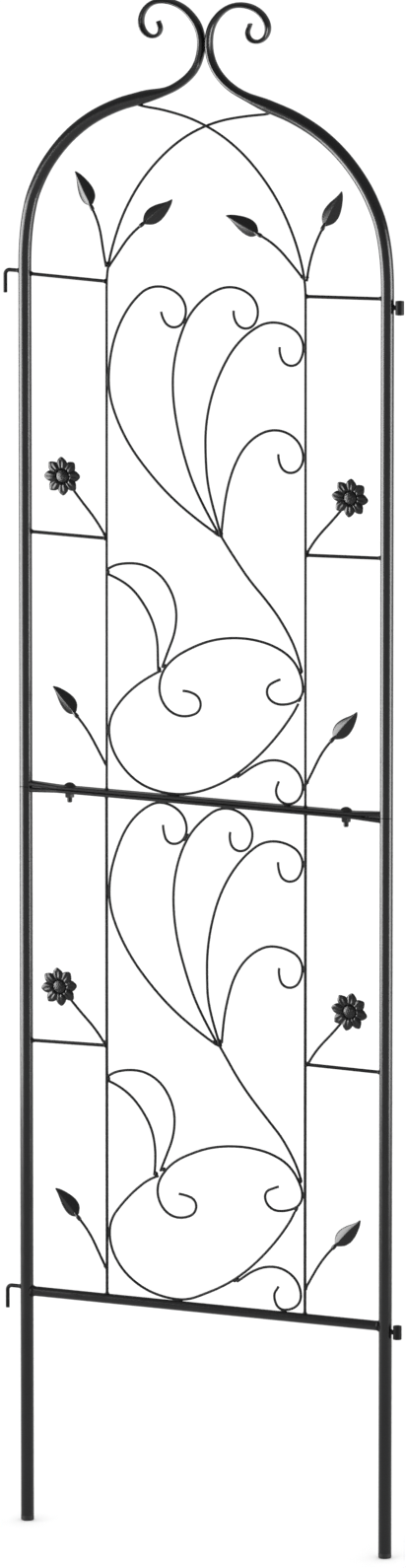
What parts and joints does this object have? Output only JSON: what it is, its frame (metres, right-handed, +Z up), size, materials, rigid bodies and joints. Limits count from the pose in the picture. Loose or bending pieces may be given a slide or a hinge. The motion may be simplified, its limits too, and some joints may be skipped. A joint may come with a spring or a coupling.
{
  "type": "trellis panel",
  "caption": "Tall flat garden trellis panel with an arched scroll top, inner uprights, wire scrollwork, leaves and daisies, in two bolted sections with push-in legs and side hooks and eyes.",
  "frame": {"origin": "midway between the two feet, at the level of the feet's undersides", "axes": "+X towards the side with the eyes (right seen from the front), -Y out of the front (the daisies' side), +Z up along the posts"},
  "size_m": [0.4967, 0.0152, 1.7994],
  "materials": {
    "frame_paint": "black satin powder coat with fine orange peel",
    "wire_paint": "black satin powder coat on wire",
    "ornament_paint": "black semi-gloss powder coat on pressed sheet",
    "fastener_paint": "black-finished steel",
    "plug_plastic": "matt black moulded plastic"
  },
  "bodies": {
    "lower_section": {"bottom_rail": "frame_paint", "foot_plug_left": "plug_plastic", "foot_plug_right": "plug_plastic", "lower_c_scroll": "wire_paint", "lower_curl_1": "wire_paint", "lower_curl_2": "wire_paint", "lower_curl_3": "wire_paint", "lower_curl_4": "wire_paint", "lower_daisy_left": "ornament_paint", "lower_daisy_right": "ornament_paint", "lower_daisy_stems": "wire_paint", "lower_eye": "wire_paint", "lower_hook": "wire_paint", "lower_leaf_left": "ornament_paint", "lower_leaf_right": "ornament_paint", "lower_leaf_stems": "wire_paint", "lower_loop_inner": "wire_paint", "lower_loop_outer": "wire_paint", "lower_middle_rail": "frame_paint", "lower_oval_arc": "wire_paint", "lower_plume_stem": "wire_paint", "lower_post_left": "frame_paint", "lower_post_right": "frame_paint", "lower_small_curl": "wire_paint", "lower_struts": "wire_paint", "lower_upright_left": "wire_paint", "lower_upright_right": "wire_paint"},
    "upper_section": {"arch_post_left": "frame_paint", "arch_post_right": "frame_paint", "upper_c_scroll": "wire_paint", "upper_curl_1": "wire_paint", "upper_curl_2": "wire_paint", "upper_curl_3": "wire_paint", "upper_curl_4": "wire_paint", "upper_daisy_left": "ornament_paint", "upper_daisy_right": "ornament_paint", "upper_daisy_stems": "wire_paint", "upper_eye": "wire_paint", "upper_hook": "wire_paint", "upper_leaf_middle_left": "ornament_paint", "upper_leaf_middle_right": "ornament_paint", "upper_leaf_stems": "wire_paint", "upper_leaf_top_left_inner": "ornament_paint", "upper_leaf_top_left_outer": "ornament_paint", "upper_leaf_top_right_inner": "ornament_paint", "upper_leaf_top_right_outer": "ornament_paint", "upper_loop_inner": "wire_paint", "upper_loop_outer": "wire_paint", "upper_middle_rail": "frame_paint", "upper_oval_arc": "wire_paint", "upper_plume_stem": "wire_paint", "upper_small_curl": "wire_paint", "upper_struts": "wire_paint", "upper_upright_left": "wire_paint", "upper_upright_right": "wire_paint"},
    "bolt_left": {"bolt_left": "fastener_paint"},
    "bolt_right": {"bolt_right": "fastener_paint"},
    "nut_left": {"nut_left": "fastener_paint"},
    "nut_right": {"nut_right": "fastener_paint"}
  },
  "joints": [
    {"name": "upper_lift", "type": "slide", "parent": "lower_section", "child": "upper_section", "axis": [0, 0, 1], "range_m": [0, 0.07]},
    {"name": "bolt_left_turn", "type": "hinge", "parent": "upper_section", "child": "bolt_left", "pos_m": [-0.17, 0, 0.8741], "axis": [0, 0, 1], "range_deg": [0, 3600]},
    {"name": "bolt_right_turn", "type": "hinge", "parent": "upper_section", "child": "bolt_right", "pos_m": [0.175, 0, 0.8741], "axis": [0, 0, 1], "range_deg": [0, 3600]},
    {"name": "nut_left_travel", "type": "slide", "parent": "lower_section", "child": "nut_left", "axis": [0, 0, -1], "range_m": [0, 0.01]},
    {"name": "nut_right_travel", "type": "slide", "parent": "lower_section", "child": "nut_right", "axis": [0, 0, -1], "range_m": [0, 0.01]}
  ],
  "couplings": [
    {"joint": "nut_left_travel", "follows": "bolt_left_turn", "m_per_rad": 0.00015915},
    {"joint": "nut_right_travel", "follows": "bolt_right_turn", "m_per_rad": 0.00015915}
  ]
}
